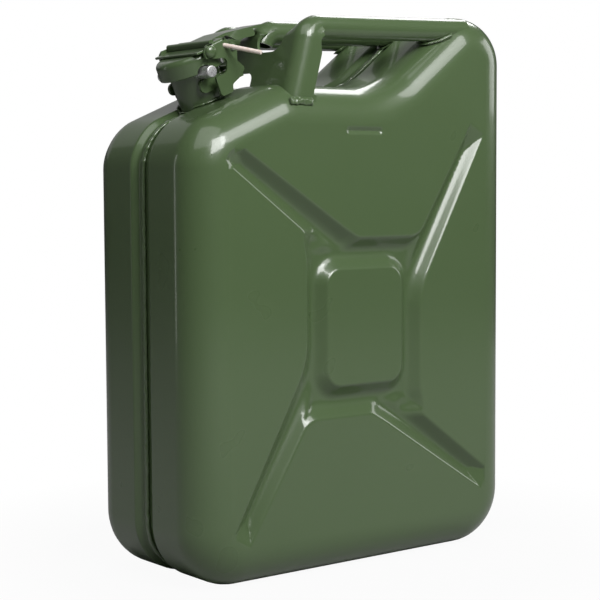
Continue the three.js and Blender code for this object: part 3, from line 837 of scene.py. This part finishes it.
def make_strap():
    """Strap along both sides of the neck, joined behind it, with the two hinge ears."""
    arm = [(strap_back, strap_low, 0), (strap_back, strap_high, 0),
           (strap_front, strap_high, strap_end_round), (strap_front, strap_low, strap_end_round)]
    piece = slab("hinge_strap_band", arm, -strap_outer, -strap_inner)
    plate_front = strap_back - strap_plate
    others = [
        slab("far_arm", arm, strap_inner, strap_outer),
        block_between("cross_plate", (plate_front, strap_back), (-strap_outer, strap_outer),
                      (strap_low, strap_high)),
    ]
    knuckle_rear = hinge_x + knuckle
    knuckle_top = hinge_z + knuckle
    ear = [
        (plate_front, strap_low, 0),
        (strap_back, strap_low, 0),
        (knuckle_rear, hinge_z - 2 * mm, 0),
        (knuckle_rear, knuckle_top, knuckle * full_round),
        (strap_back, knuckle_top, knuckle * full_round),
        (strap_back, hinge_z, 0),
        (plate_front, strap_high, 0),
    ]
    for y in (tongue_half + fit, -tongue_half - fit - hinge_ear):
        others.append(slab("hinge_ear", ear, y, y + hinge_ear))
    weld_together(piece, others)
    cut_away(piece, [hinge_bore(fit / 2)])
    ease(piece, strap_ease, 2)
    return piece


def make_stud(name):
    """Short plated stud on the near side of the neck, shaped to the neck's wall."""
    profile = [(0, neck_radius / 2), (stud_radius, neck_radius / 2),
               *arc(stud_radius - stud_round, stud_reach - stud_round, stud_round, 0, 90, 4), (0, stud_reach)]
    piece = turned(name, profile, 40)
    lay_on_side(piece, stud_x, stud_z)
    cut_away(piece, [rod("neck_room", neck_radius + fit / 2, (0, 0, 0), (0, 0, neck_rim), sides=72)])
    return piece


def lay_on_side(piece, x, z):
    """Turns an upright round piece to point towards -y and moves it to its axis."""
    piece.rotation_euler = (math.pi / 2, 0, 0)
    piece.location = (x, 0, z)
    settle(piece)


def make_rivet(name):
    """Rivet through an ear and a side plate, with a low domed head outside."""
    start = carrier_half - carrier_sheet
    seat = lever_outer + fit
    head = [(rivet_head * math.cos(a), seat + rivet_brim + (rivet_dome - rivet_brim) * math.sin(a))
            for a in (math.pi / 2 * i / 8 for i in range(8))]
    profile = [(0, start), (rivet_shank, start), (rivet_shank, seat), (rivet_head, seat),
               *head, (0, seat + rivet_dome)]
    piece = turned(name, profile, 40)
    lay_on_side(piece, rivet_x, rivet_z)
    return piece


def hook_corners():
    """Side plate of the lever, each corner as x, z and round.

    The pivot is at the top, the open mouth for the stud at the front, the knee and the nose below.
    """
    jaw_x = stud_x + 3.7 * mm
    jaw_z = stud_z - stud_radius - 1.2 * mm
    nose_z = strap_low - 6.5 * mm
    rear = lever_rear + 1.5 * mm
    return [
        (rivet_x - 2.2 * mm, lever_high, 2.5 * mm),
        (rear, lever_high, 4 * mm),
        (rear, rivet_z - 10.6 * mm, 8 * mm),
        (stud_x + 34.6 * mm, stud_z - 9.5 * mm, 3 * mm),
        (stud_x + 26.2 * mm, stud_z - 14.7 * mm, 4 * mm),
        (stud_x + 17.6 * mm, stud_z - 17.3 * mm, 3 * mm),
        (stud_x + 15.8 * mm, nose_z, 2.5 * mm),
        (jaw_x, nose_z, 3 * mm),
        (jaw_x, jaw_z, 1.5 * mm),
        (stud_x + 16 * mm, jaw_z, 4 * mm),
        (stud_x + 20.8 * mm, jaw_z + 10.6 * mm, 4 * mm),
        (rivet_x - 6.2 * mm, rivet_z - 4.3 * mm, 2.5 * mm),
        (rivet_x - 6.2 * mm, rivet_z + 1.5 * mm, 2.5 * mm),
    ]


def make_lever():
    """Yoke: two hooked side plates, a top plate bent down into them, and the flanged thumb grip."""
    piece = slab("closing_lever_yoke", hook_corners(), -lever_outer, -lever_inner)
    far = mirror_copy(piece, "far_plate")

    def sink(x):
        return (x - grip_bend_x) * math.tan(grip_fall)

    top = block_between("top_plate", (lever_front, lever_rear), (-lever_outer, lever_outer),
                        (lever_low, lever_high))
    grip = slab("grip", [
        (lever_rear - mm, lever_low, 0),
        (grip_bend_x, lever_low, grip_bend_round),
        (grip_end_x, lever_low - sink(grip_end_x), 0),
        (grip_end_x, lever_high - sink(grip_end_x), 0),
        (grip_bend_x, lever_high, grip_bend_round),
        (lever_rear - mm, lever_high, 0),
    ], -grip_half, grip_half)
    flange_top = lever_high - 0.2 * mm
    flange_low = lever_low - grip_flange
    flange = [
        (grip_bend_x, flange_top, 0),
        (grip_bend_x, lever_low, 0),
        (grip_bend_x + grip_flange_ramp, flange_low, 3 * mm),
        (grip_flange_end, flange_low - sink(grip_flange_end - grip_flange_ramp), 2 * mm),
        (grip_flange_end, flange_top - sink(grip_flange_end), 0),
    ]
    thickness = lever_outer - lever_inner
    flanges = [slab("flange", flange, y, y + thickness) for y in (-grip_half, grip_half - thickness)]
    lip = rod("lip", lip_radius, (lip_x, -lever_inner, lip_z), (lip_x, lever_inner, lip_z), sides=24)
    weld_together(piece, [far, top, grip, lip, *flanges])
    cut_away(piece, [block_between("window", window_x, (-window_half, window_half),
                                   (lever_low - mm, lever_high + mm))])

    def on_shoulder(v):
        return abs(abs(v.co.y) - lever_outer) < 0.01 * mm and abs(v.co.z - lever_high) < 0.01 * mm

    open_mesh(piece)
    pick(piece, "EDGE", lambda e: all(on_shoulder(v) for v in e.verts))
    bpy.ops.mesh.bevel(offset=lever_round * 0.65, segments=5, affect="EDGES", profile=0.5)
    close_mesh()
    reach = 2 * lever_outer
    cut_away(piece, [cross_rod("pivot", rivet_shank + fit, rivet_x, rivet_z, -reach, reach)])
    ease(piece, plate_ease, 2)
    tilt(piece)
    cut_away(piece, [pin_rod("pin_hole_cut", pin_radius + pin_room, -3 * thickness, 3 * thickness)])
    return piece


def pin_rod(name, radius, start, end, edge=0.0):
    hole = neck_foot + Matrix.Rotation(-slope, 3, "Y") @ pin_hole
    return rod(name, radius, hole + pin_way * start, hole + pin_way * end, edge, 24)


def make_closure(paint, zinc, rubber, pin):
    """Builds the neck, cap and lever, tilts them into place and gives each its finish."""
    near_stud = make_stud("latch_stud_near_rod")
    near_rivet = make_rivet("rivet_near_dome")
    gasket_outer = cap_radius - cap_wall - fit
    gasket = turned("cap_gasket_ring", [(gasket_inner, gasket_low), (gasket_outer, gasket_low),
                                        (gasket_outer, gasket_high), (gasket_inner, gasket_high),
                                        (gasket_inner, gasket_low)])
    ease(gasket, 0.4 * mm)
    disc_low = gasket_high - 1.4 * mm
    disc_radius = gasket_inner - fit
    disc = turned("gasket_disc_plate", [(0, disc_low), (disc_radius, disc_low),
                                        (disc_radius, gasket_high), (0, gasket_high)])
    ease(disc, 0.3 * mm)
    reach = tongue_half + fit + hinge_ear + 2 * mm
    hinge = rod("hinge_pin_rod", hinge_pin_radius, (hinge_x, -reach, hinge_z), (hinge_x, reach, hinge_z),
                plate_ease)
    upright = [
        (make_neck(), paint, "can", "paint", "filler_neck"),
        (make_strap(), paint, "can", "paint", "hinge_strap"),
        (hinge, zinc, "can", "zinc", "hinge_pin"),
        (near_stud, zinc, "can", "zinc", "latch_stud_near"),
        (mirror_copy(near_stud, "latch_stud_far_rod"), zinc, "can", "zinc", "latch_stud_far"),
        (make_cap(), paint, "cap", "paint", "cap"),
        (gasket, rubber, "cap", "rubber", "cap_gasket"),
        (disc, zinc, "cap", "zinc", "gasket_disc"),
        (make_carrier(), paint, "cap", "paint", "cap_carrier"),
        (near_rivet, paint, "cap", "paint", "rivet_near"),
        (mirror_copy(near_rivet, "rivet_far_dome"), paint, "cap", "paint", "rivet_far"),
    ]
    for piece, material, body, slot, node in upright:
        tilt(piece)
        soften(piece)
        finish_piece(piece, material, body, slot, node)
    lever = make_lever()
    soften(lever)
    finish_piece(lever, paint, "lever", "paint", "closing_lever")
    lock = pin_rod("lock_pin_rod", pin_radius, -pin_inside, pin_outside, 0.7 * mm)
    soften(lock)
    finish_piece(lock, pin, "pin", "pin", "lock_pin")


# Welds

def crumble(piece, size, strength):
    """Rough, lumpy surface of a weld run."""
    lumps = bpy.data.textures.new(piece.name, "CLOUDS")
    lumps.noise_scale = size
    modify(piece, "DISPLACE", texture=lumps, texture_coords="LOCAL", strength=strength, mid_level=0.5)


def lumpy_weld(node, name, roughness, end, way):
    """A weld with the shape of its plain bead as far as its end, melted round and crumbled."""
    source = frame["nodes"][node]
    piece = copy_piece(source, name)
    piece.matrix_world = source.matrix_world.copy()
    settle(piece)
    face_out(piece)
    open_mesh(piece)
    bpy.ops.mesh.select_all(action="SELECT")
    bpy.ops.mesh.bisect(plane_co=end, plane_no=way, clear_outer=True, use_fill=True)
    close_mesh()
    modify(piece, "REMESH", mode="VOXEL", voxel_size=weld_grain)
    modify(piece, "SMOOTH", factor=0.5, iterations=10)
    crumble(piece, weld_lump, roughness)
    soften(piece, 80, weighted=False)
    return piece


def make_seam_bead():
    """Weld bead on the floor of the seam, all round the can but for the neck."""
    piece = draw_outline("seam_weld_bead", body_corners(), -bead_half, math.radians(3))
    bpy.ops.mesh.select_mode(type="FACE")
    bpy.ops.mesh.select_all(action="SELECT")
    bpy.ops.mesh.inset(thickness=seam_depth - fit - bead_height, use_even_offset=True)
    bpy.ops.mesh.select_all(action="INVERT")
    bpy.ops.mesh.delete(type="FACE")
    bpy.ops.mesh.select_all(action="SELECT")
    bpy.ops.mesh.inset(thickness=bead_height, use_even_offset=True)
    bpy.ops.mesh.delete(type="ONLY_FACE")
    bpy.ops.mesh.select_all(action="SELECT")
    extrude((0, 2 * bead_half, 0))
    close_mesh()
    face_out(piece)
    modify(piece, "REMESH", mode="VOXEL", voxel_size=bead_grain)

    def at_neck(v):
        out = v.co - neck_foot
        height = out.dot(neck_up)
        return abs(height) < 20 * mm and (out - neck_up * height).length < neck_radius + bead_neck_room

    open_mesh(piece)
    pick(piece, "VERT", at_neck)
    bpy.ops.mesh.delete(type="VERT")
    bpy.ops.mesh.select_all(action="SELECT")
    bpy.ops.mesh.fill_holes(sides=0)
    close_mesh()
    modify(piece, "SMOOTH", factor=0.5, iterations=4)
    crumble(piece, bead_lump, bead_roughness)
    soften(piece, 80, weighted=False)
    return piece


def make_welds(paint):
    finish_piece(make_seam_bead(), paint, "can", "paint", "seam_weld")
    rear_end = Vector((handle_weld_end, 0, 0))
    foot_end = Vector((0, 0, bracket_weld_low))
    neck_end = neck_foot + neck_up * neck_weld_top
    welds = []
    for place in ("near", "middle", "far"):
        welds.append((f"handle_weld_{place}", handle_weld_roughness, rear_end, rear_end))
    for place in ("near", "far"):
        welds.append((f"bracket_weld_{place}", bracket_weld_roughness, foot_end, -foot_end))
    welds.append(("neck_weld", neck_weld_roughness, neck_end, neck_up))
    for node, roughness, end, way in welds:
        bead = lumpy_weld(node, f"{node}_bead", roughness, end, way)
        finish_piece(bead, paint, "can", "paint", node)


# Finishes

def node_group(name, outputs):
    """An empty shader group with these outputs, given as name and socket kind."""
    group = bpy.data.node_groups.new(name, "ShaderNodeTree")
    for output, kind in outputs:
        group.interface.new_socket(output, in_out="OUTPUT", socket_type=kind)
    return group


def noise(tree, scale, detail, place):
    texture = tree.nodes.new("ShaderNodeTexNoise")
    texture.inputs["Scale"].default_value = scale
    texture.inputs["Detail"].default_value = detail
    tree.links.new(place, texture.inputs["Vector"])
    return texture.outputs["Fac"]


def remap(tree, value, low, high, to_low, to_high):
    spread = tree.nodes.new("ShaderNodeMapRange")
    for socket, number in zip(("From Min", "From Max", "To Min", "To Max"), (low, high, to_low, to_high)):
        spread.inputs[socket].default_value = number
    tree.links.new(value, spread.inputs["Value"])
    return spread.outputs["Result"]


def blend_colour(tree, share, first, second):
    mix = tree.nodes.new("ShaderNodeMix")
    mix.data_type = "RGBA"
    mix.inputs["A"].default_value = (*first, 1)
    mix.inputs["B"].default_value = (*second, 1)
    tree.links.new(share, mix.inputs["Factor"])
    return mix.outputs["Result"]


def add_heights(tree, first, second):
    total = tree.nodes.new("ShaderNodeMath")
    tree.links.new(first, total.inputs[0])
    tree.links.new(second, total.inputs[1])
    return total.outputs["Value"]


def paint_surface():
    """Sprayed paint on pressed sheet: a fine peel, slow waves in the steel and slightly uneven cover."""
    group = node_group("paint_surface", [("Cover", "NodeSocketFloat"), ("Gloss", "NodeSocketFloat"),
                                         ("Height", "NodeSocketFloat")])
    place = group.nodes.new("ShaderNodeTexCoord").outputs["Object"]
    out = group.nodes.new("NodeGroupOutput")
    peel = remap(group, noise(group, 420, 2, place), 0, 1, 0, 0.05 * mm)
    waves = remap(group, noise(group, 9, 1, place), 0, 1, 0, 0.9 * mm)
    specks = remap(group, noise(group, 1400, 1, place), 0.7, 0.78, 0, 0.06 * mm)
    group.links.new(noise(group, 6, 2, place), out.inputs["Cover"])
    group.links.new(remap(group, noise(group, 20, 2, place), 0, 1, 0.24, 0.35), out.inputs["Gloss"])
    group.links.new(add_heights(group, add_heights(group, peel, waves), specks), out.inputs["Height"])
    return group


def shader_of(material):
    return material.node_tree.nodes["Principled BSDF"]


def new_material(name):
    material = bpy.data.materials.new(name)
    material.use_nodes = True
    return material


def bump(tree, height, shader, strength=1.0):
    node = tree.nodes.new("ShaderNodeBump")
    node.inputs["Strength"].default_value = strength
    node.inputs["Distance"].default_value = 1.0
    tree.links.new(height, node.inputs["Height"])
    tree.links.new(node.outputs["Normal"], shader.inputs["Normal"])


def green_paint(surface):
    material = new_material("green_paint")
    tree = material.node_tree
    shader = shader_of(material)
    parts = tree.nodes.new("ShaderNodeGroup")
    parts.node_tree = surface
    cover = remap(tree, parts.outputs["Cover"], 0, 1, 0, 1)
    tree.links.new(blend_colour(tree, cover, paint_deep, paint_pale), shader.inputs["Base Color"])
    tree.links.new(parts.outputs["Gloss"], shader.inputs["Roughness"])
    shader.inputs["Coat Weight"].default_value = 0.7
    shader.inputs["Coat Roughness"].default_value = 0.08
    shader.inputs["Specular IOR Level"].default_value = 0.4
    bump(tree, parts.outputs["Height"], shader)
    return material


def grained_metal(name, dark, bright, grain, roughness):
    """Bare plated steel with a grain of bright and dull specks."""
    material = new_material(name)
    tree = material.node_tree
    shader = shader_of(material)
    place = tree.nodes.new("ShaderNodeTexCoord").outputs["Object"]
    specks = noise(tree, grain, 3, place)
    tree.links.new(blend_colour(tree, remap(tree, specks, 0.35, 0.65, 0, 1), dark, bright),
                   shader.inputs["Base Color"])
    tree.links.new(remap(tree, specks, 0.3, 0.7, roughness + 0.15, roughness), shader.inputs["Roughness"])
    shader.inputs["Metallic"].default_value = 0.9
    bump(tree, remap(tree, specks, 0, 1, 0, 0.3 * mm), shader)
    return material


def uneven_finish(name, scale, detail, dark, pale, smooth, rough):
    """A plain finish whose colour and roughness wander a little."""
    material = new_material(name)
    tree = material.node_tree
    shader = shader_of(material)
    place = tree.nodes.new("ShaderNodeTexCoord").outputs["Object"]
    specks = noise(tree, scale, detail, place)
    tree.links.new(blend_colour(tree, specks, dark, pale), shader.inputs["Base Color"])
    tree.links.new(remap(tree, specks, 0.3, 0.7, smooth, rough), shader.inputs["Roughness"])
    return material


def finish_piece(piece, material, body, slot, *nodes):
    piece.data.materials.clear()
    piece.data.materials.append(material)
    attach(piece, body)
    if nodes:
        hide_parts(*nodes)


# Studio

def make_camera():
    camera = bpy.data.objects.new("camera", bpy.data.cameras.new("camera"))
    bpy.context.collection.objects.link(camera)
    turn = (Matrix.Rotation(camera_yaw, 3, "Z") @ Matrix.Rotation(math.pi / 2 - camera_pitch, 3, "X")
            @ Matrix.Rotation(camera_roll, 3, "Z"))
    camera.location = camera_place
    camera.rotation_euler = turn.to_euler()
    camera.data.lens = camera_lens
    camera.data.sensor_width = 36
    camera.data.clip_start = 10 * mm
    bpy.context.scene.camera = camera


def soft_box(name, place, aim, size, watts):
    lamp = bpy.data.lights.new(name, "AREA")
    lamp.shape = "RECTANGLE"
    lamp.size, lamp.size_y = size
    lamp.energy = watts
    light = bpy.data.objects.new(name, lamp)
    bpy.context.collection.objects.link(light)
    light.location = place
    light.rotation_euler = (Vector(aim) - Vector(place)).to_track_quat("-Z", "Y").to_euler()


def make_floor():
    """Pale floor that keeps the can's shadow and turns white away from it."""
    clear_selection()
    bpy.ops.mesh.primitive_plane_add(size=30)
    floor = bpy.context.active_object
    floor.name = "floor"
    material = new_material("pale_floor")
    tree = material.node_tree
    shader = shader_of(material)
    shader.inputs["Base Color"].default_value = (*floor_colour, 1)
    shader.inputs["Roughness"].default_value = 0.9
    white = tree.nodes.new("ShaderNodeEmission")
    mix = tree.nodes.new("ShaderNodeMixShader")
    ray = tree.nodes.new("ShaderNodeLightPath")
    away = tree.nodes.new("ShaderNodeVectorMath")
    away.operation = "LENGTH"
    tree.links.new(tree.nodes.new("ShaderNodeTexCoord").outputs["Object"], away.inputs[0])
    share = tree.nodes.new("ShaderNodeMath")
    share.operation = "MULTIPLY"
    tree.links.new(ray.outputs["Is Camera Ray"], share.inputs[0])
    whiteness = remap(tree, away.outputs["Value"], *floor_shadow_reach, floor_whiteness, 1)
    tree.links.new(whiteness, share.inputs[1])
    tree.links.new(share.outputs["Value"], mix.inputs["Fac"])
    tree.links.new(shader.outputs["BSDF"], mix.inputs[1])
    tree.links.new(white.outputs["Emission"], mix.inputs[2])
    tree.links.new(mix.outputs["Shader"], tree.nodes["Material Output"].inputs["Surface"])
    floor.data.materials.append(material)


def make_room():
    """Dim even light from all round, behind a white background."""
    world = bpy.data.worlds.new("studio")
    bpy.context.scene.world = world
    world.use_nodes = True
    tree = world.node_tree
    light = tree.nodes["Background"]
    light.inputs["Color"].default_value = (*room_light, 1)
    light.inputs["Strength"].default_value = 1
    seen = tree.nodes.new("ShaderNodeBackground")
    mix = tree.nodes.new("ShaderNodeMixShader")
    ray = tree.nodes.new("ShaderNodeLightPath")
    tree.links.new(ray.outputs["Is Camera Ray"], mix.inputs["Fac"])
    tree.links.new(light.outputs["Background"], mix.inputs[1])
    tree.links.new(seen.outputs["Background"], mix.inputs[2])
    seen.inputs["Color"].default_value = (1, 1, 1, 1)
    tree.links.new(mix.outputs["Shader"], tree.nodes["World Output"].inputs["Surface"])
    bpy.context.scene.view_settings.view_transform = "Standard"


def make_lamps():
    soft_box("key", (-0.3, -1.7, 1.6), (0, 0, 0.3), (1.0, 0.9), 34)
    soft_box("fill", (0.35, -1.5, 1.75), (0, 0, 0.3), (1.0, 0.9), 16)
    soft_box("low_right", (1.9, -0.5, 0.9), (0, 0, 0.3), (0.9, 0.9), 6.5)
    soft_box("high_right", (1.25, 0.9, 1.75), (0, 0, 0.45), (1.0, 0.8), 14)
    soft_box("high_left", (-0.8, -0.6, 2.0), (0, 0, 0.3), (1.5, 1.5), 11)
    soft_box("left_strip", (-1.6, 1.3, 0.5), (0, 0, 0.3), (0.16, 1.2), 1.0)
    soft_box("back", (0.3, 2.2, 1.5), (0, 0, 0.45), (2.6, 1.4), 3)


def main():
    make_camera()
    make_floor()
    make_room()
    make_lamps()
    paint = green_paint(paint_surface())
    zinc = grained_metal("plated_steel", zinc_dull, zinc_bright, 900, 0.35)
    rubber = uneven_finish("black_rubber", 200, 4, rubber_dark, rubber_dusty, 0.6, 0.85)
    pin = uneven_finish("pale_pin", 300, 3, pin_dark, pin_pale, 0.3, 0.5)
    finishes = {"paint": paint, "zinc": zinc, "rubber": rubber, "pin": pin}
    for part in frame["record"]["subparts"]:
        node = frame["nodes"][part["node"]]
        node.data.materials.clear()
        node.data.materials.append(finishes[part["material_slot"]])
    block = shell_block()
    blocks = body_blocks(block, 0)
    near, far = make_shells(block)
    finish_piece(near, paint, "can", "paint", "near_shell")
    finish_piece(far, paint, "can", "paint", "far_shell")
    for tube, place in zip(make_handles(blocks), ("middle", "near", "far")):
        finish_piece(tube, paint, "can", "paint", f"handle_{place}")
    finish_piece(make_bracket(blocks), paint, "can", "paint", "handle_bracket")
    drop([block, *blocks])
    make_closure(paint, zinc, rubber, pin)
    make_welds(paint)


main()
